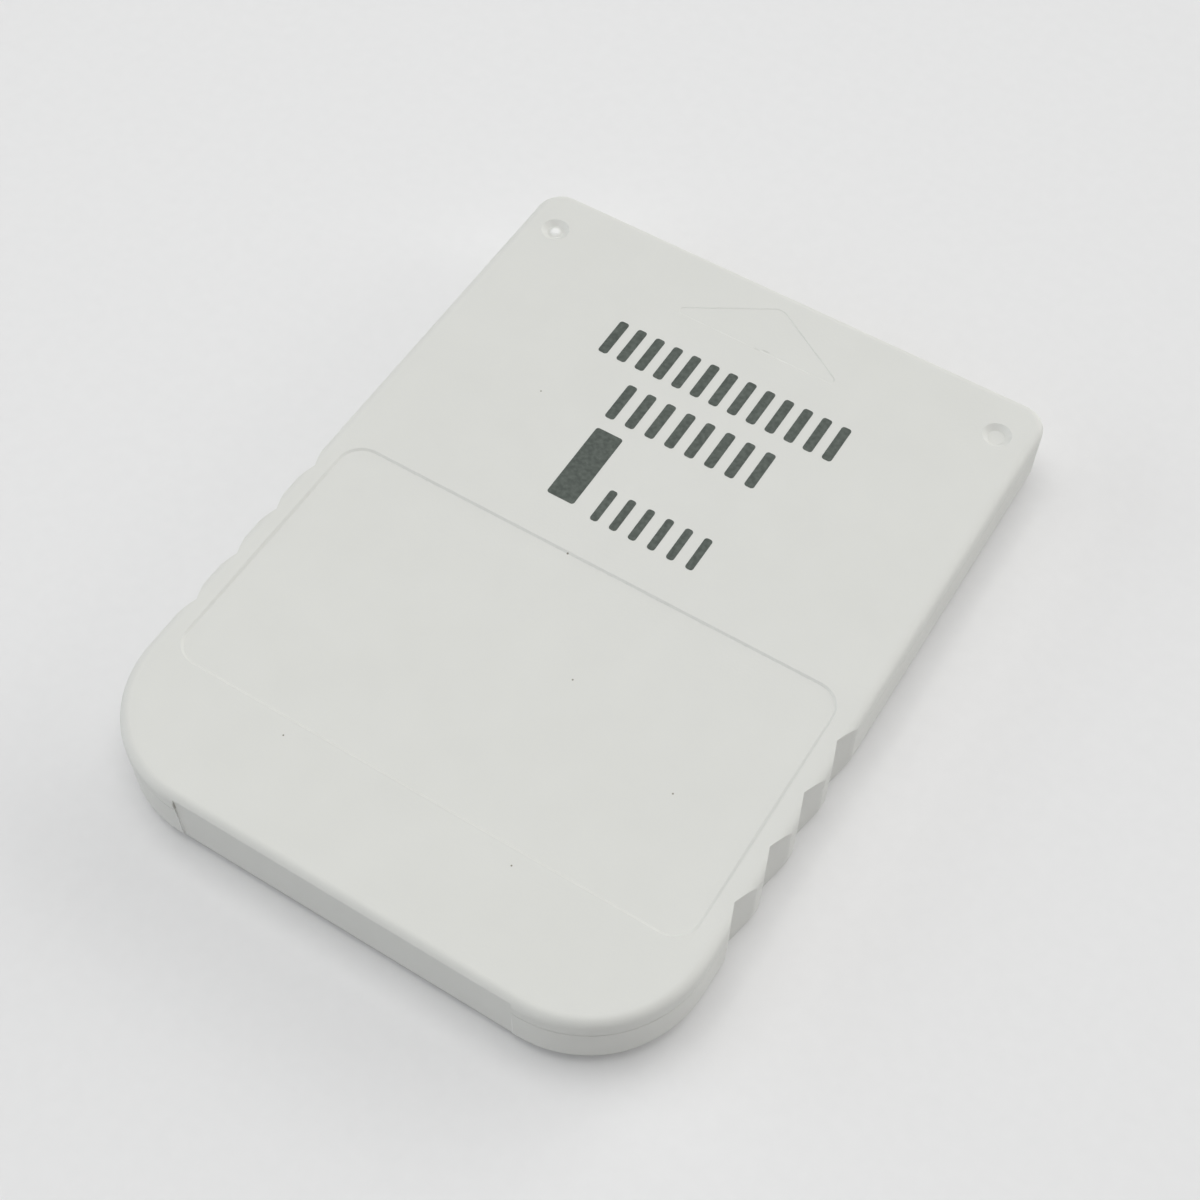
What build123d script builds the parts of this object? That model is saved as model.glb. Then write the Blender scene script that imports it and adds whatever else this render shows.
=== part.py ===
from build123d import *
from math import cos, radians, sin, tan
import os

# A console memory card: two moulded half shells around a circuit board, closed by one screw.
# X runs across the card, +Y towards the nose that goes into the console, +Z out of the label face.
# The origin is the middle of the back face, on which the card lies. Sizes are in millimetres.

# Case
card_width = 42.0
card_length = 57.0
card_height = 6.0
side_wall = 1.6
front_wall = 1.0
rear_wall = 1.2
rim_depth = 0.5
nose_corner_radius = 2.0
handle_corner_radius = 8.2
top_edge_radius = 0.7
undercut_height = 1.35
undercut_inset = 0.7
undercut_margin = 0.1
seam_chamfer = 0.08

# Finger grip on both long sides: sharp vertical notches between round crests
grip_notches = 4
grip_pitch = 4.35
grip_flank_angle = 20.0
grip_crest_radius = 2.1
grip_crest_rise = 0.03
grip_corner_gap = 2.13

# Label recess on the front, and the spine recess on the handle end
label_side_margin = 1.6
label_handle_margin = 8.4
label_length = 20.4
label_depth = 0.1
label_slope = 0.17
label_corner_radius = 1.9
spine_width = 25.0
spine_depth = 0.1

# Insertion arrow, sunk into the front
arrow_width = 14.8
arrow_length = 4.45
arrow_depth = 0.04
arrow_slope_angle = 65.0
arrow_nose_margin = 1.55
arrow_tip_radius = 1.0
arrow_base_radius = 0.38

# Corner dimples; the left one keeps the stub of the moulding gate
dimple_diameter = 2.1
dimple_floor_diameter = 1.2
dimple_depth = 0.3
dimple_side_margin = 2.65
dimple_nose_margin = 3.8
gate_stub_diameter = 1.0
gate_stub_tip_diameter = 0.5
gate_stub_height = 0.15

# Connector mouth in the nose
nose_depth = 8.0
bay_width = 9.0
bay_divider = 1.2
lead_in = 0.7
contacts_per_bay = (3, 2, 3)
contact_pitch = 2.7
contact_width = 1.5
contact_thickness = 0.25
contact_solder_length = 3.0
contact_tip = 0.4

# Circuit board and what holds it
board_thickness = 1.0
board_clearance = 0.2
ledge_width = 1.0
ledge_height = 0.4
tongue_thickness = 0.7
tongue_clearance = 0.1
tongue_gap = 0.4
rib_width = 1.0
rib_length = 2.4
rib_gap = 0.1
rib_side_margin = 4.6
rib_nose_gap = 4.0
rib_handle_margin = 17.0

# Case screw and its bosses
screw_handle_margin = 14.5
screw_diameter = 2.0
screw_clearance = 0.15
pilot_clearance = 0.05
screw_tip_gap = 0.4
pilot_end_gap = 0.2
head_diameter = 3.8
head_height = 1.2
head_bevel = 0.5
head_clearance = 0.3
head_sink = 0.2
cross_length = 2.2
cross_width = 0.5
cross_depth = 0.6
boss_diameter = 5.6
boss_clearance = 0.3

# Packages on the board: places are across the board and back from its nose edge
package_height = 1.0
package_standoff = 0.1
package_taper_angle = 8.0
lead_pitch = 1.27
lead_width = 0.4
lead_thickness = 0.15
lead_root = 0.4
lead_shoulder = 0.25
lead_slope = 0.15
lead_reach = 0.95
pin_mark_diameter = 0.9
pin_mark_depth = 0.08
pin_mark_inset = 1.2
controller_place = (-8.5, 16.3)
controller_size = (7.5, 10.3)
controller_lead_count = 8
memory_place = (8.5, 18.3)
memory_size = (7.5, 12.8)
memory_lead_count = 10
transistor_place = (-8.5, 32.0)
transistor_size = (1.3, 2.9)
transistor_lead_offset = 0.95
resonator_place = (-8.5, 27.5)
resonator_size = (7.0, 3.0)
resonator_base_height = 0.5
resonator_lid_inset = 0.25
resonator_lid_height = 0.7
resonator_lid_bevel = 0.2
chip_part_size = (2.0, 1.25)
chip_part_column = 0.0
chip_part_nose_gap = 5.5
chip_part_spacing = 2.4
capacitor_height = 0.8
resistor_height = 0.5
chip_cap_length = 0.4
chip_cap_rise = 0.05

# Places worked out from the sizes
half_width = card_width / 2
half_length = card_length / 2
ceiling = card_height - front_wall
parting = ceiling - rim_depth
board_seat = rear_wall + ledge_height
board_top = board_seat + board_thickness
shelf = board_top
bay_nose = half_length - nose_depth
board_nose = bay_nose - board_clearance
screw_seat = head_sink + head_height
screw_y = -half_length + screw_handle_margin
bay_pitch = bay_width + bay_divider
bay_count = len(contacts_per_bay)
bay_centres = [(index - (bay_count - 1) / 2) * bay_pitch for index in range(bay_count)]
rib_points = [
    (side * (half_width - rib_side_margin), y)
    for side in (-1, 1)
    for y in (bay_nose - rib_nose_gap, -half_length + rib_handle_margin)
]


def on_board(place):
    """A place on the board, from across it and back from its nose edge."""
    across, back = place
    return across, board_nose - back


def bay_outline(gap):
    """The board bay from above, drawn in by a gap all round."""
    low = -half_length + side_wall + gap
    high = bay_nose - gap
    with BuildSketch() as bay:
        with Locations((0, (low + high) / 2)):
            Rectangle(card_width - 2 * (side_wall + gap), high - low)
        handle_corners = bay.vertices().group_by(Axis.Y)[0]
        fillet(handle_corners, handle_corner_radius - side_wall - gap)
    return bay.sketch


# Outline of the card from above, with tight corners at the nose and wide ones at the handle
with BuildSketch() as outline:
    Rectangle(card_width, card_length)
    fillet(outline.vertices().group_by(Axis.Y)[-1], nose_corner_radius)
    fillet(outline.vertices().group_by(Axis.Y)[0], handle_corner_radius)

# One notch of the grip, opening towards +Y: straight flanks that turn into the round crests beside it
flank_turn = radians(grip_flank_angle)
flank_run = grip_pitch / 2 - grip_crest_radius * sin(flank_turn)
crest_height = flank_run * tan(flank_turn) + grip_crest_radius * (1 - cos(flank_turn))
notch_bottom = grip_crest_rise - crest_height

with BuildSketch() as notch:
    with BuildLine():
        flank = Line((0, notch_bottom), (flank_run, notch_bottom + flank_run * tan(flank_turn)))
        crest = JernArc(flank @ 1, flank % 1, grip_crest_radius, -grip_flank_angle)
        Polyline(crest @ 1, (grip_pitch / 2, grip_pitch), (0, grip_pitch))
        mirror(about=Plane.YZ)
    make_face()

# The notches are cut over the full height, after the edges of the shells are finished
grip_end = -half_length + handle_corner_radius + grip_corner_gap
notch_places = [
    Location((side * half_width, grip_end + (index + 0.5) * grip_pitch, 0), (0, 0, -90 * side))
    for side in (-1, 1)
    for index in range(grip_notches)
]
with BuildSketch() as grip:
    with Locations(*notch_places):
        add(notch.sketch)

# The spine recess runs over the full height too, so both shells are cut by the same rectangle
with BuildSketch(Plane.XZ.offset(half_length)) as spine:
    with Locations((0, card_height / 2)):
        Rectangle(spine_width, card_height)

board_bay = bay_outline(0)
ledge_opening = bay_outline(ledge_width)
board_shape = bay_outline(board_clearance)
tongue_outside = bay_outline(tongue_clearance)
tongue_inside = bay_outline(tongue_clearance + tongue_thickness)

# Front shell
with BuildPart() as front_shell:
    with BuildSketch(Plane.XY.offset(parting)):
        add(outline.sketch)
    extrude(amount=card_height - parting)
    fillet(front_shell.faces().sort_by(Axis.Z)[-1].edges(), top_edge_radius)
    chamfer(front_shell.faces().sort_by(Axis.Z)[0].edges(), seam_chamfer)

    # Finger grip
    with BuildSketch(Plane.XY.offset(parting)):
        add(grip.sketch)
    extrude(amount=card_height - parting, mode=Mode.SUBTRACT)

    # Label recess, with sloped edges
    label_width = card_width - 2 * label_side_margin
    for depth, slope in ((0, 0), (label_depth, label_slope)):
        with BuildSketch(Plane.XY.offset(card_height - depth)):
            with Locations((0, -half_length + label_handle_margin + label_length / 2)):
                RectangleRounded(
                    label_width - 2 * slope,
                    label_length - 2 * slope,
                    label_corner_radius - slope,
                )
    loft(ruled=True, mode=Mode.SUBTRACT)

    # Insertion arrow
    arrow_tip = half_length - arrow_nose_margin
    with BuildSketch(Plane.XY.offset(card_height)) as arrow:
        with BuildLine():
            Polyline(
                (0, arrow_tip),
                (arrow_width / 2, arrow_tip - arrow_length),
                (-arrow_width / 2, arrow_tip - arrow_length),
                close=True,
            )
        make_face()
        fillet(arrow.vertices().group_by(Axis.Y)[0], arrow_base_radius)
        fillet(arrow.vertices().sort_by(Axis.Y)[-1], arrow_tip_radius)
    extrude(amount=-arrow_depth, taper=arrow_slope_angle, mode=Mode.SUBTRACT)

    # Corner dimples and the gate stub
    dimple_x = half_width - dimple_side_margin
    dimple_y = half_length - dimple_nose_margin
    dimple_floor = card_height - dimple_depth
    with Locations((-dimple_x, dimple_y, dimple_floor), (dimple_x, dimple_y, dimple_floor)):
        Cone(
            bottom_radius=dimple_floor_diameter / 2,
            top_radius=dimple_diameter / 2,
            height=dimple_depth,
            align=(Align.CENTER, Align.CENTER, Align.MIN),
            mode=Mode.SUBTRACT,
        )
    with Locations((-dimple_x, dimple_y, dimple_floor)):
        Cone(
            bottom_radius=gate_stub_diameter / 2,
            top_radius=gate_stub_tip_diameter / 2,
            height=gate_stub_height,
            align=(Align.CENTER, Align.CENTER, Align.MIN),
        )

    # Spine recess
    extrude(spine.sketch, amount=-spine_depth, mode=Mode.SUBTRACT)

    # Hollow over the board, and the tongue that drops inside the rear shell's wall
    tongue_end = board_top + contact_thickness + tongue_gap
    with BuildSketch(Plane.XY.offset(ceiling)):
        add(board_bay)
    extrude(amount=-rim_depth, mode=Mode.SUBTRACT)
    with BuildSketch(Plane.XY.offset(ceiling)):
        add(tongue_outside)
        add(tongue_inside, mode=Mode.SUBTRACT)
    extrude(amount=tongue_end - ceiling)

    # Ribs that hold the board down, and the boss that takes the screw
    with BuildSketch(Plane.XY.offset(ceiling)):
        with Locations(*rib_points):
            Rectangle(rib_width, rib_length)
    extrude(amount=board_top + rib_gap - ceiling)
    with BuildSketch(Plane.XY.offset(ceiling)):
        with Locations((0, screw_y)):
            Circle(boss_diameter / 2)
    extrude(amount=board_top - ceiling)
    with BuildSketch(Plane.XY.offset(board_top)):
        with Locations((0, screw_y)):
            Circle(screw_diameter / 2 + pilot_clearance)
    extrude(amount=ceiling - pilot_end_gap - board_top, mode=Mode.SUBTRACT)

# Rear shell; its bottom edge is undercut by less than the radius of the nose corners
inset = min(undercut_inset, nose_corner_radius - undercut_margin)
with BuildPart() as rear_shell:
    with BuildSketch():
        add(outline.sketch)
    extrude(amount=parting)
    chamfer(rear_shell.faces().sort_by(Axis.Z)[-1].edges(), seam_chamfer)
    back_face = rear_shell.faces().sort_by(Axis.Z)[0]
    chamfer(back_face.edges(), length=inset, length2=undercut_height, reference=back_face)
    extrude(spine.sketch, amount=-spine_depth, mode=Mode.SUBTRACT)
    with BuildSketch():
        add(grip.sketch)
    extrude(amount=parting, mode=Mode.SUBTRACT)

    # Board bay, with a ledge all round under the board
    with BuildSketch(Plane.XY.offset(board_seat)):
        add(board_bay)
    extrude(amount=parting - board_seat, mode=Mode.SUBTRACT)
    with BuildSketch(Plane.XY.offset(rear_wall)):
        add(ledge_opening)
    extrude(amount=ledge_height, mode=Mode.SUBTRACT)

    # Connector mouth: bays between dividers, with a sloped edge at the front of the shelf
    with BuildSketch(Plane.XY.offset(shelf)):
        with Locations((0, half_length - nose_depth / 2)):
            with GridLocations(bay_pitch, 0, bay_count, 1):
                Rectangle(bay_width, nose_depth)
    extrude(amount=parting - shelf, mode=Mode.SUBTRACT)
    with BuildSketch(*[Plane.YZ.offset(centre - bay_width / 2) for centre in bay_centres]):
        with BuildLine():
            Polyline(
                (half_length - lead_in, shelf),
                (half_length, shelf),
                (half_length, shelf - lead_in),
                close=True,
            )
        make_face()
    extrude(amount=bay_width, mode=Mode.SUBTRACT)

    # Boss with the screw well
    with BuildSketch(Plane.XY.offset(rear_wall)):
        with Locations((0, screw_y)):
            Circle(boss_diameter / 2)
    extrude(amount=board_top - rear_wall)
    with Locations(Plane(origin=(0, screw_y, 0), z_dir=(0, 0, -1))):
        CounterBoreHole(
            radius=screw_diameter / 2 + screw_clearance,
            counter_bore_radius=head_diameter / 2 + head_clearance,
            counter_bore_depth=screw_seat,
            depth=board_top,
        )

# Circuit board
with BuildPart() as circuit_board:
    with BuildSketch(Plane.XY.offset(board_seat)):
        add(board_shape)
        with Locations((0, screw_y)):
            Circle(boss_diameter / 2 + boss_clearance, mode=Mode.SUBTRACT)
    extrude(amount=board_thickness)

# Case screw: pan head down in its well, cross recess facing the back
with BuildPart() as case_screw:
    with BuildSketch(Plane.XY.offset(head_sink)):
        with Locations((0, screw_y)):
            Circle(head_diameter / 2)
    extrude(amount=head_height)
    chamfer(case_screw.edges().sort_by(Axis.Z)[0], head_bevel)
    with BuildSketch(Plane.XY.offset(head_sink)):
        with Locations((0, screw_y)):
            Rectangle(cross_length, cross_width)
            Rectangle(cross_width, cross_length)
    extrude(amount=cross_depth, mode=Mode.SUBTRACT)
    with BuildSketch(Plane.XY.offset(screw_seat)):
        with Locations((0, screw_y)):
            Circle(screw_diameter / 2)
    extrude(amount=ceiling - screw_tip_gap - screw_seat)


def contact_blade(across):
    """One plated blade on the shelf, with its tip bent down over the sloped front edge."""
    bend = half_length - lead_in
    back = board_nose - contact_solder_length
    lift = contact_thickness * (2 ** 0.5 - 1)
    tip_step = contact_thickness / 2 ** 0.5
    with BuildPart() as blade:
        with BuildSketch(Plane.YZ.offset(across - contact_width / 2)):
            with BuildLine():
                Polyline(
                    (back, shelf),
                    (bend, shelf),
                    (bend + contact_tip, shelf - contact_tip),
                    (bend + contact_tip + tip_step, shelf - contact_tip + tip_step),
                    (bend + lift, shelf + contact_thickness),
                    (back, shelf + contact_thickness),
                    close=True,
                )
            make_face()
        extrude(amount=contact_width)
    return blade.part


def gull_wing_package(place, size, lead_places):
    """A moulded package on bent leads; lead_places gives, for each side, how far along each lead is."""
    across, along = on_board(place)
    width, length = size
    edge = width / 2
    bottom = board_top + package_standoff
    shoulder = (bottom + board_top + package_height) / 2
    with BuildPart() as package:
        with BuildSketch(Plane.XY.offset(bottom)):
            with Locations((across, along)):
                Rectangle(width, length)
        extrude(amount=package_height - package_standoff, taper=package_taper_angle)
        for side, places in lead_places.items():
            planes = [Plane((across, along + y, 0), x_dir=(side, 0, 0), z_dir=(0, -side, 0)) for y in places]
            with BuildSketch(*planes):
                with BuildLine():
                    Polyline(
                        (edge - lead_root, shoulder),
                        (edge + lead_shoulder, shoulder),
                        (edge + lead_shoulder + lead_slope, board_top + lead_thickness),
                        (edge + lead_reach, board_top + lead_thickness),
                        (edge + lead_reach, board_top),
                        (edge + lead_shoulder + lead_slope - lead_thickness, board_top),
                        (edge + lead_shoulder - lead_thickness, shoulder - lead_thickness),
                        (edge - lead_root, shoulder - lead_thickness),
                        close=True,
                    )
                make_face()
            extrude(amount=lead_width / 2, both=True)
    return package.part


def dual_row_chip(place, size, lead_count):
    """A chip with equal rows of leads and a round mark by its first one."""
    row = [(index - (lead_count - 1) / 2) * lead_pitch for index in range(lead_count)]
    across, along = on_board(place)
    width, length = size
    package = gull_wing_package(place, size, {-1: row, 1: row})
    with BuildPart() as chip:
        add(package)
        with BuildSketch(Plane.XY.offset(board_top + package_height)):
            with Locations((across - width / 2 + pin_mark_inset, along + length / 2 - pin_mark_inset)):
                Circle(pin_mark_diameter / 2)
        extrude(amount=-pin_mark_depth, mode=Mode.SUBTRACT)
    return chip.part


def chip_part(place, height):
    """A ceramic chip part: a bare middle between two plated end caps."""
    length, width = chip_part_size
    with BuildPart() as chip:
        with BuildSketch(Plane.XY.offset(board_top)):
            with Locations(on_board(place)):
                Rectangle(length, width)
        extrude(amount=height)
        with BuildSketch(Plane.XY.offset(board_top)):
            with Locations(on_board(place)):
                with GridLocations(length - chip_cap_length, 0, 2, 1):
                    Rectangle(chip_cap_length, width + 2 * chip_cap_rise)
        extrude(amount=height + chip_cap_rise)
    return chip.part


# Resonator: a ceramic base under a lid with bevelled edges
with BuildPart() as resonator:
    with BuildSketch(Plane.XY.offset(board_top)):
        with Locations(on_board(resonator_place)):
            Rectangle(*resonator_size)
    extrude(amount=resonator_base_height)
    with BuildSketch(Plane.XY.offset(board_top + resonator_base_height)):
        with Locations(on_board(resonator_place)):
            Rectangle(*(side - 2 * resonator_lid_inset for side in resonator_size))
    extrude(amount=resonator_lid_height)
    chamfer(resonator.faces().sort_by(Axis.Z)[-1].edges(), resonator_lid_bevel)

# The transistor has two leads on one side and one on the other
transistor_leads = {-1: [-transistor_lead_offset, transistor_lead_offset], 1: [0]}

pieces = {
    "front_shell": front_shell.part,
    "rear_shell": rear_shell.part,
    "circuit_board": circuit_board.part,
    "case_screw": case_screw.part,
    "resonator": resonator.part,
    "controller_chip": dual_row_chip(controller_place, controller_size, controller_lead_count),
    "memory_chip": dual_row_chip(memory_place, memory_size, memory_lead_count),
    "transistor": gull_wing_package(transistor_place, transistor_size, transistor_leads),
}

contact_number = 0
for centre, count in zip(bay_centres, contacts_per_bay):
    for index in range(count):
        contact_number += 1
        across = centre + (index - (count - 1) / 2) * contact_pitch
        pieces[f"contact_{contact_number}"] = contact_blade(across)

chip_part_heights = {"capacitor": capacitor_height, "resistor": resistor_height}
chip_part_row = [f"{kind}_{number}" for kind in chip_part_heights for number in (1, 2, 3)]
for row_index, chip_name in enumerate(chip_part_row):
    place = (chip_part_column, chip_part_nose_gap + row_index * chip_part_spacing)
    pieces[chip_name] = chip_part(place, chip_part_heights[chip_name.split("_")[0]])

os.makedirs("parts", exist_ok=True)
for name, piece in pieces.items():
    piece.label = name
    export_step(piece, f"parts/{name}.step")
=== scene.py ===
# A console memory card on a pale floor, in metres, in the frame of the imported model.
# X runs across the card, +Y towards its nose, +Z out of the label face.
import bmesh
import bpy
from math import cos, pi, radians, sin
from mathutils import Matrix, Vector


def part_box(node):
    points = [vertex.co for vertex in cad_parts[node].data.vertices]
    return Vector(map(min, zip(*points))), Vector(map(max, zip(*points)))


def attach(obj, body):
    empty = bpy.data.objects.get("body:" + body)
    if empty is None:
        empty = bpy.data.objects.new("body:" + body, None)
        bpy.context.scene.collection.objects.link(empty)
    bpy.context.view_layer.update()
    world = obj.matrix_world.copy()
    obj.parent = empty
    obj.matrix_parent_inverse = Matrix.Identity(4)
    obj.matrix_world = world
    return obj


MM = 0.001

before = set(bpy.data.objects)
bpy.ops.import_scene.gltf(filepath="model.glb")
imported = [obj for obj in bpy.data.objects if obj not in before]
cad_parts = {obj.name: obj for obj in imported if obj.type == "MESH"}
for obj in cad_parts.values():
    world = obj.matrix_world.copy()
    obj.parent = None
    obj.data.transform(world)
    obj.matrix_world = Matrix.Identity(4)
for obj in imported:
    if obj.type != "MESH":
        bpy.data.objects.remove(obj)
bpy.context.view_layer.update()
face_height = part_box("front_shell")[1].z
face_mm = face_height / MM

# Camera: place and axes in the card's frame, and its lens on a 36 mm sensor
CAMERA_PLACE = Vector((38.31, -62.39, 113.08)) * MM
CAMERA_RIGHT = Vector((0.84944, 0.52756, 0.01098))
CAMERA_UP = Vector((-0.44586, 0.70646, 0.54966))
CAMERA_LENS = 58.32
SENSOR_WIDTH = 36.0

# Light: an even surround, and softboxes that each face the card
SURROUND_LEVEL = 0.19
SURROUND_COLOUR = (0.98, 1.0, 1.01)
WARM_LIGHT = (1.0, 1.0, 0.985)
COOL_LIGHT = (0.94, 1.0, 1.05)
# Elevation and azimuth in degrees, distance, width and height in metres, power in watts, colour
SOFTBOXES = {
    "softbox_above": (90, 0, 0.60, 0.40, 0.40, 1.22, WARM_LIGHT),
    "softbox_high_left": (65, 180, 0.60, 0.35, 0.35, 0.58, WARM_LIGHT),
    "softbox_high_right": (65, 315, 0.60, 0.35, 0.35, 0.35, WARM_LIGHT),
    "softbox_behind": (45, 90, 1.00, 0.65, 0.65, 1.16, WARM_LIGHT),
    "softbox_low_behind": (19, 58, 2.00, 2.40, 1.10, 20.0, WARM_LIGHT),
    "softbox_low_left": (18, 210, 2.00, 2.00, 1.10, 11.0, COOL_LIGHT),
}

# Colours, linear
CASE_LIGHT = (0.702, 0.702, 0.674)
CASE_DARK = (0.688, 0.688, 0.660)
SPECK_COLOUR = (0.22, 0.20, 0.16)
# Colour of the scuff below the arrow, also used for the painted shade along the label recess's edges
SCUFF_AND_SHADE_COLOUR = (0.52, 0.52, 0.49)
DIRT_COLOUR = (0.20, 0.16, 0.11)
# Pale colour of the broken-off gate stub, also used for the painted highlights on the spine steps
STUB_AND_HIGHLIGHT_COLOUR = (0.86, 0.86, 0.85)
INK_DARK = (0.055, 0.067, 0.058)
INK_LIGHT = (0.105, 0.123, 0.107)
FLOOR_COLOUR = (0.811, 0.806, 0.81)
BOARD_COLOUR = (0.02, 0.11, 0.045)
BOARD_TRACK = (0.035, 0.17, 0.07)
GOLD_COLOUR = (0.83, 0.60, 0.25)
TIN_COLOUR = (0.62, 0.62, 0.60)
MOULD_COLOUR = (0.014, 0.014, 0.016)
RESONATOR_COLOUR = (0.03, 0.06, 0.25)
CAPACITOR_COLOUR = (0.42, 0.29, 0.17)
RESISTOR_COLOUR = (0.02, 0.02, 0.022)
STEEL_COLOUR = (0.50, 0.50, 0.51)

# Dark specks in the plastic, each at x, y on the face with a radius, in millimetres
SPECKS = [
    (-1.7, 0.15, 0.10),
    (3.85, -8.0, 0.09),
    (13.5, -11.65, 0.09),
    (-10.77, 10.93, 0.08),
    (-9.35, -21.2, 0.08),
    (7.75, -21.1, 0.08),
]
SPECK_HALF_DEPTH = 0.5
# Share of a mark's reach at which its soft rim begins
MARK_RIM = 0.4

# Other marks: middle x, y, z and half sizes in millimetres, colour, strength
MARKS = [
    # A short scuff below the arrow's tip, rising to the right
    ((0.25, 22.54, face_mm), (0.42, 0.10, 0.5), SCUFF_AND_SHADE_COLOUR, 0.6),
    ((0.92, 22.72, face_mm), (0.42, 0.10, 0.5), SCUFF_AND_SHADE_COLOUR, 0.6),
    # The broken-off gate stub is paler than the skin around it
    ((-18.35, 24.7, face_mm), (0.62, 0.62, 0.6), STUB_AND_HIGHLIGHT_COLOUR, 1.0),
    # Dirt at the top of the spine recess's left step
    ((-12.5, -28.45, 5.0), (0.13, 0.30, 0.5), DIRT_COLOUR, 0.35),
    # Painted light: pale lines low on both steps, lifting the shaded face of the left step and painting
    # a highlight along the right step's edge
    ((-12.5, -28.45, 2.6), (0.09, 0.30, 2.0), STUB_AND_HIGHLIGHT_COLOUR, 0.8),
    ((12.5, -28.45, 2.6), (0.09, 0.30, 1.7), STUB_AND_HIGHLIGHT_COLOUR, 0.6),
    # Painted shade: faint dark lines along three edges of the label recess, stronger on some sides than
    # others
    ((-19.32, -10.0, face_mm), (0.20, 11.0, 0.5), SCUFF_AND_SHADE_COLOUR, 0.2),
    ((0.0, -20.05, face_mm), (22.0, 0.20, 0.5), SCUFF_AND_SHADE_COLOUR, 0.13),
    ((19.32, -10.0, face_mm), (0.20, 11.0, 0.5), SCUFF_AND_SHADE_COLOUR, 0.22),
]

# Noise scales per metre, and the metals' in x, y and z
CASE_MOTTLE = 260.0
CASE_GRAIN = 5200.0
INK_GRAIN = 3200.0
BODY_GRAIN = 2600.0
MASK_GRAIN = 900.0
PAPER_GRAIN = 900.0
SCREW_LINES = (3000.0, 3000.0, 3000.0)
BLADE_LINES = (9000.0, 400.0, 9000.0)

# Lowest and highest roughness
CASE_ROUGHNESS = (0.48, 0.66)
INK_ROUGHNESS = (0.45, 0.65)
MASK_ROUGHNESS = (0.3, 0.45)
SCREW_ROUGHNESS = (0.28, 0.45)
BLADE_ROUGHNESS = (0.18, 0.32)
MOULD_ROUGHNESS = (0.42, 0.6)
RESONATOR_ROUGHNESS = (0.3, 0.45)
CAPACITOR_ROUGHNESS = (0.4, 0.6)
RESISTOR_ROUGHNESS = (0.25, 0.4)

# Heights of fine relief
CASE_RELIEF = 0.012 * MM
INK_RELIEF = 0.006 * MM
TRACK_RELIEF = 0.03 * MM
METAL_RELIEF = 0.004 * MM
BODY_RELIEF = 0.01 * MM

# Lengths of the tinned ends of leaded packages and of ceramic chip parts
LEAD_LENGTH = 0.95 * MM
CAP_LENGTH = 0.4 * MM

# Printed rows of upright bars, in millimetres:
# middle x and y, width of the row, height, number of bars, width of a bar
INK_ROWS = {
    "print_row_upper": (0.1, 17.95, 19.0, 3.3, 13, 0.75),
    "print_row_middle": (0.2, 13.1, 12.0, 3.4, 8, 0.75),
    "print_block": (-4.6, 7.0, 2.15, 6.6, 1, 2.15),
    "print_row_lower": (2.05, 4.75, 8.1, 2.9, 6, 0.6),
}
INK_RISE = 0.012 * MM
INK_SINK = 0.02 * MM
INK_CORNER = 0.22 * MM
INK_CORNER_STEPS = 5

# The floor lies a hair below the card's back face, so that the two don't share a plane
FLOOR_HALF = 1.5
FLOOR_DROP = 0.02 * MM


def opaque(colour):
    """A colour with full alpha."""
    return (*colour, 1.0)


def new_material(name):
    """A node material with one Principled shader; gives the material, its nodes, links and shader."""
    material = bpy.data.materials.new(name)
    material.use_nodes = True
    nodes = material.node_tree.nodes
    links = material.node_tree.links
    return material, nodes, links, nodes["Principled BSDF"]


def card_place(nodes):
    """Places in the card's frame, in metres."""
    return nodes.new("ShaderNodeTexCoord").outputs["Object"]


def noise(nodes, links, place, scale, detail=3.0):
    """A noise texture in the card's own metres; gives its value socket."""
    texture = nodes.new("ShaderNodeTexNoise")
    texture.inputs["Scale"].default_value = scale
    texture.inputs["Detail"].default_value = detail
    links.new(place, texture.inputs["Vector"])
    return texture.outputs["Fac"]


def ramp(nodes, links, value, low, high, dark, light):
    """Two colours mixed by a value that runs from low to high."""
    mixer = nodes.new("ShaderNodeValToRGB")
    mixer.color_ramp.elements[0].position = low
    mixer.color_ramp.elements[1].position = high
    mixer.color_ramp.elements[0].color = opaque(dark)
    mixer.color_ramp.elements[1].color = opaque(light)
    links.new(value, mixer.inputs["Fac"])
    return mixer.outputs["Color"]


def span(nodes, links, value, low, high):
    """A value from 0 to 1 spread over low to high."""
    spread = nodes.new("ShaderNodeMapRange")
    spread.inputs["To Min"].default_value = low
    spread.inputs["To Max"].default_value = high
    links.new(value, spread.inputs["Value"])
    return spread.outputs["Result"]


def bump(nodes, links, shader, height, depth, strength):
    """Fine relief on the shader's normal."""
    relief = nodes.new("ShaderNodeBump")
    relief.inputs["Strength"].default_value = strength
    relief.inputs["Distance"].default_value = depth
    links.new(height, relief.inputs["Height"])
    links.new(relief.outputs["Normal"], shader.inputs["Normal"])


def mix_colour(nodes, links, factor, first, second):
    """A colour mix by a factor; first is a socket and second a colour."""
    mixer = nodes.new("ShaderNodeMix")
    mixer.data_type = "RGBA"
    links.new(factor, mixer.inputs["Factor"])
    links.new(first, mixer.inputs["A"])
    mixer.inputs["B"].default_value = opaque(second)
    return mixer.outputs["Result"]


def math_node(nodes, links, kind, operation, value, second=None):
    """A Math or VectorMath node on a linked value, with a constant as its second input."""
    node = nodes.new(kind)
    node.operation = operation
    links.new(value, node.inputs[0])
    if second is not None:
        node.inputs[1].default_value = second
    return node


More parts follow.
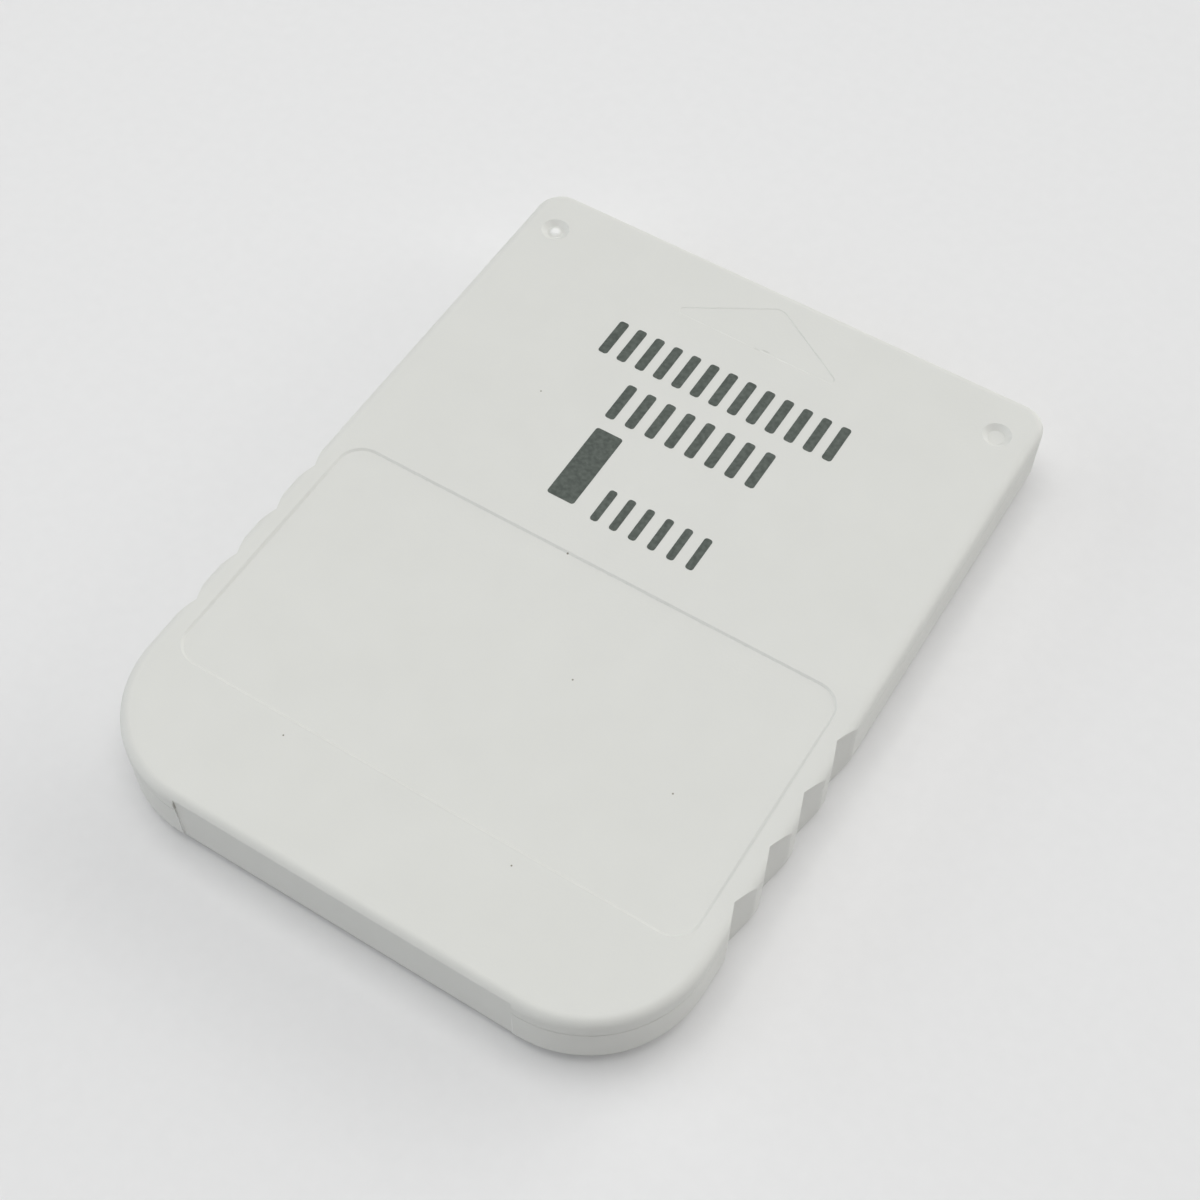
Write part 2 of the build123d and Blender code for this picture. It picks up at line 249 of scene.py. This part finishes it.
def marked(nodes, links, place, colour, middle, half_sizes, mark_colour, strength):
    """The colour with one round or long mark laid over it, soft at its rim."""
    centre = [part * MM for part in middle]
    reach = [part * MM for part in half_sizes]
    offset = math_node(nodes, links, "ShaderNodeVectorMath", "SUBTRACT", place, centre)
    share = math_node(nodes, links, "ShaderNodeVectorMath", "DIVIDE", offset.outputs["Vector"], reach)
    distance = math_node(nodes, links, "ShaderNodeVectorMath", "LENGTH", share.outputs["Vector"])
    inside = nodes.new("ShaderNodeMapRange")
    inside.interpolation_type = "SMOOTHSTEP"
    inside.inputs["From Min"].default_value = 1.0
    inside.inputs["From Max"].default_value = MARK_RIM
    inside.inputs["To Max"].default_value = strength
    links.new(distance.outputs["Value"], inside.inputs["Value"])
    return mix_colour(nodes, links, inside.outputs["Result"], colour, mark_colour)


def case_material():
    """Light grey moulded plastic with a fine eroded grain, a few small marks, and painted highlight and
    shade lines on the steps and the label recess.
    """
    material, nodes, links, shader = new_material("moulded_case")
    place = card_place(nodes)
    mottle = noise(nodes, links, place, CASE_MOTTLE, 4.0)
    grain = noise(nodes, links, place, CASE_GRAIN, 2.0)
    colour = ramp(nodes, links, mottle, 0.30, 0.70, CASE_DARK, CASE_LIGHT)
    for x, y, radius in SPECKS:
        half_sizes = (radius, radius, SPECK_HALF_DEPTH)
        colour = marked(nodes, links, place, colour, (x, y, face_mm), half_sizes, SPECK_COLOUR, 1.0)
    for mark in MARKS:
        colour = marked(nodes, links, place, colour, *mark)
    links.new(colour, shader.inputs["Base Color"])
    links.new(span(nodes, links, grain, *CASE_ROUGHNESS), shader.inputs["Roughness"])
    shader.inputs["Specular IOR Level"].default_value = 0.35
    bump(nodes, links, shader, grain, CASE_RELIEF, 0.5)
    return material


def ink_material():
    """Dark printing ink that took a little unevenly."""
    material, nodes, links, shader = new_material("printing_ink")
    cover = noise(nodes, links, card_place(nodes), INK_GRAIN, 3.0)
    links.new(ramp(nodes, links, cover, 0.35, 0.75, INK_DARK, INK_LIGHT), shader.inputs["Base Color"])
    links.new(span(nodes, links, cover, *INK_ROUGHNESS), shader.inputs["Roughness"])
    bump(nodes, links, shader, cover, INK_RELIEF, 0.4)
    return material


def board_material():
    """Green solder mask over long parallel tracks that show lighter and raised."""
    material, nodes, links, shader = new_material("board_mask")
    place = card_place(nodes)
    tracks = nodes.new("ShaderNodeTexBrick")
    tracks.inputs["Scale"].default_value = 400.0
    tracks.inputs["Brick Width"].default_value = 4.0
    tracks.inputs["Row Height"].default_value = 0.25
    tracks.inputs["Mortar Size"].default_value = 0.05
    links.new(place, tracks.inputs["Vector"])
    colour = ramp(nodes, links, tracks.outputs["Fac"], 0.2, 0.8, BOARD_COLOUR, BOARD_TRACK)
    links.new(colour, shader.inputs["Base Color"])
    sheen = noise(nodes, links, place, MASK_GRAIN)
    links.new(span(nodes, links, sheen, *MASK_ROUGHNESS), shader.inputs["Roughness"])
    bump(nodes, links, shader, tracks.outputs["Fac"], TRACK_RELIEF, 0.6)
    return material


def metal_material(name, colour, stretch, roughness):
    """Bright metal with fine lines along one axis; stretch scales the noise in x, y and z."""
    material, nodes, links, shader = new_material(name)
    mapping = nodes.new("ShaderNodeMapping")
    mapping.inputs["Scale"].default_value = stretch
    links.new(card_place(nodes), mapping.inputs["Vector"])
    lines = noise(nodes, links, mapping.outputs["Vector"], 1.0, 4.0)
    worn = tuple(0.8 * part for part in colour)
    links.new(ramp(nodes, links, lines, 0.3, 0.7, worn, colour), shader.inputs["Base Color"])
    shader.inputs["Metallic"].default_value = 1.0
    links.new(span(nodes, links, lines, *roughness), shader.inputs["Roughness"])
    bump(nodes, links, shader, lines, METAL_RELIEF, 0.3)
    return material


def grainy_material(name, colour, roughness):
    """A body colour with a fine grain; gives what new_material does, and the colour socket."""
    material, nodes, links, shader = new_material(name)
    grain = noise(nodes, links, card_place(nodes), BODY_GRAIN, 3.0)
    lighter = tuple(1.25 * part + 0.004 for part in colour)
    tone = ramp(nodes, links, grain, 0.3, 0.7, colour, lighter)
    links.new(tone, shader.inputs["Base Color"])
    links.new(span(nodes, links, grain, *roughness), shader.inputs["Roughness"])
    bump(nodes, links, shader, grain, BODY_RELIEF, 0.4)
    return material, nodes, links, shader, tone


def tinned_ends_material(node, colour, roughness, end_length):
    """A package or chip part whose two ends along X are tinned metal."""
    material, nodes, links, shader, tone = grainy_material(f"{node}_finish", colour, roughness)
    low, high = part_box(node)
    axes = nodes.new("ShaderNodeSeparateXYZ")
    links.new(card_place(nodes), axes.inputs["Vector"])
    middle = (low.x + high.x) / 2
    offset = math_node(nodes, links, "ShaderNodeMath", "SUBTRACT", axes.outputs["X"], middle)
    aside = math_node(nodes, links, "ShaderNodeMath", "ABSOLUTE", offset.outputs["Value"])
    body_half = (high.x - low.x) / 2 - end_length
    tinned = math_node(nodes, links, "ShaderNodeMath", "GREATER_THAN", aside.outputs["Value"], body_half)
    ends = tinned.outputs["Value"]
    links.new(mix_colour(nodes, links, ends, tone, TIN_COLOUR), shader.inputs["Base Color"])
    links.new(ends, shader.inputs["Metallic"])
    return material


def dress(node, material):
    """Give a carried-over node one material."""
    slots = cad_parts[node].data.materials
    slots.clear()
    slots.append(material)


def rounded_bar(shape, x, y, width, height):
    """One upright bar of ink with rounded corners, added to a bmesh."""
    rim = []
    for turn, (side_x, side_y) in enumerate(((1, 1), (-1, 1), (-1, -1), (1, -1))):
        centre_x = x + side_x * (width / 2 - INK_CORNER)
        centre_y = y + side_y * (height / 2 - INK_CORNER)
        for step in range(INK_CORNER_STEPS + 1):
            angle = (turn + step / INK_CORNER_STEPS) * pi / 2
            rim.append((centre_x + INK_CORNER * cos(angle), centre_y + INK_CORNER * sin(angle)))
    low = [shape.verts.new((px, py, face_height - INK_SINK)) for px, py in rim]
    high = [shape.verts.new((px, py, face_height + INK_RISE)) for px, py in rim]
    shape.faces.new(high)
    shape.faces.new(low[::-1])
    for index in range(len(rim)):
        after = (index + 1) % len(rim)
        shape.faces.new((low[index], low[after], high[after], high[index]))


def print_row(name, middle_x, middle_y, width, height, bars, bar_width):
    """A printed row of upright bars."""
    shape = bmesh.new()
    for index in range(bars):
        share = index / (bars - 1) - 0.5 if bars > 1 else 0.0
        x = middle_x + share * (width - bar_width)
        rounded_bar(shape, x * MM, middle_y * MM, bar_width * MM, height * MM)
    mesh = bpy.data.meshes.new(name)
    shape.to_mesh(mesh)
    shape.free()
    piece = bpy.data.objects.new(name, mesh)
    bpy.context.scene.collection.objects.link(piece)
    return piece


def floor_material():
    """Plain pale paper."""
    material, nodes, links, shader = new_material("pale_floor")
    fibre = noise(nodes, links, card_place(nodes), PAPER_GRAIN, 4.0)
    shade = tuple(0.985 * part for part in FLOOR_COLOUR)
    links.new(ramp(nodes, links, fibre, 0.3, 0.7, shade, FLOOR_COLOUR), shader.inputs["Base Color"])
    shader.inputs["Roughness"].default_value = 0.9
    shader.inputs["Specular IOR Level"].default_value = 0.1
    return material


def add_floor():
    """A wide flat floor under the card."""
    mesh = bpy.data.meshes.new("floor")
    signs = ((-1, -1), (1, -1), (1, 1), (-1, 1))
    corners = [(x * FLOOR_HALF, y * FLOOR_HALF, -FLOOR_DROP) for x, y in signs]
    mesh.from_pydata(corners, [], [(0, 1, 2, 3)])
    floor = bpy.data.objects.new("floor", mesh)
    bpy.context.scene.collection.objects.link(floor)
    mesh.materials.append(floor_material())


def add_camera():
    """The camera at the photograph's viewing angle."""
    camera = bpy.data.cameras.new("camera")
    camera.sensor_fit = "HORIZONTAL"
    camera.sensor_width = SENSOR_WIDTH
    camera.lens = CAMERA_LENS
    camera.clip_start = 0.01
    holder = bpy.data.objects.new("camera", camera)
    back = CAMERA_RIGHT.cross(CAMERA_UP)
    turn = Matrix((CAMERA_RIGHT, CAMERA_UP, back)).transposed()
    holder.matrix_world = Matrix.Translation(CAMERA_PLACE) @ turn.to_4x4()
    bpy.context.scene.collection.objects.link(holder)
    bpy.context.scene.camera = holder


def add_surround():
    """An even light from all sides."""
    world = bpy.data.worlds.new("surround")
    world.use_nodes = True
    background = world.node_tree.nodes["Background"]
    background.inputs["Color"].default_value = opaque(SURROUND_COLOUR)
    background.inputs["Strength"].default_value = SURROUND_LEVEL
    bpy.context.scene.world = world


def add_softbox(name, elevation, azimuth, distance, width, height, power, colour):
    """A rectangular softbox that faces the card, with its width level."""
    rise = radians(elevation)
    turn = radians(azimuth)
    towards = Vector((cos(rise) * cos(turn), cos(rise) * sin(turn), sin(rise)))
    across = Vector((-sin(turn), cos(turn), 0.0))
    axes = Matrix((across, towards.cross(across), towards)).transposed()
    softbox = bpy.data.lights.new(name, "AREA")
    softbox.shape = "RECTANGLE"
    softbox.size = width
    softbox.size_y = height
    softbox.energy = power
    softbox.color = colour
    holder = bpy.data.objects.new(name, softbox)
    holder.matrix_world = Matrix.Translation(towards * distance) @ axes.to_4x4()
    bpy.context.scene.collection.objects.link(holder)


# Finishes of the carried-over nodes
case = case_material()
dress("front_shell", case)
dress("rear_shell", case)
dress("circuit_board", board_material())
dress("case_screw", metal_material("zinc_screw", STEEL_COLOUR, SCREW_LINES, SCREW_ROUGHNESS))
dress("resonator", grainy_material("resonator_coat", RESONATOR_COLOUR, RESONATOR_ROUGHNESS)[0])
for package in ("controller_chip", "memory_chip", "transistor"):
    dress(package, tinned_ends_material(package, MOULD_COLOUR, MOULD_ROUGHNESS, LEAD_LENGTH))
for number in (1, 2, 3):
    capacitor = f"capacitor_{number}"
    resistor = f"resistor_{number}"
    dress(capacitor, tinned_ends_material(capacitor, CAPACITOR_COLOUR, CAPACITOR_ROUGHNESS, CAP_LENGTH))
    dress(resistor, tinned_ends_material(resistor, RESISTOR_COLOUR, RESISTOR_ROUGHNESS, CAP_LENGTH))
gold = metal_material("plated_blade", GOLD_COLOUR, BLADE_LINES, BLADE_ROUGHNESS)
for number in range(1, 9):
    dress(f"contact_{number}", gold)

# Print on the face
ink = ink_material()
for row_name, measures in INK_ROWS.items():
    row = print_row(row_name, *measures)
    row.data.materials.append(ink)
    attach(row, "root")

add_floor()
add_camera()
add_surround()
for softbox_name, settings in SOFTBOXES.items():
    add_softbox(softbox_name, *settings)
bpy.context.scene.view_settings.view_transform = "Standard"
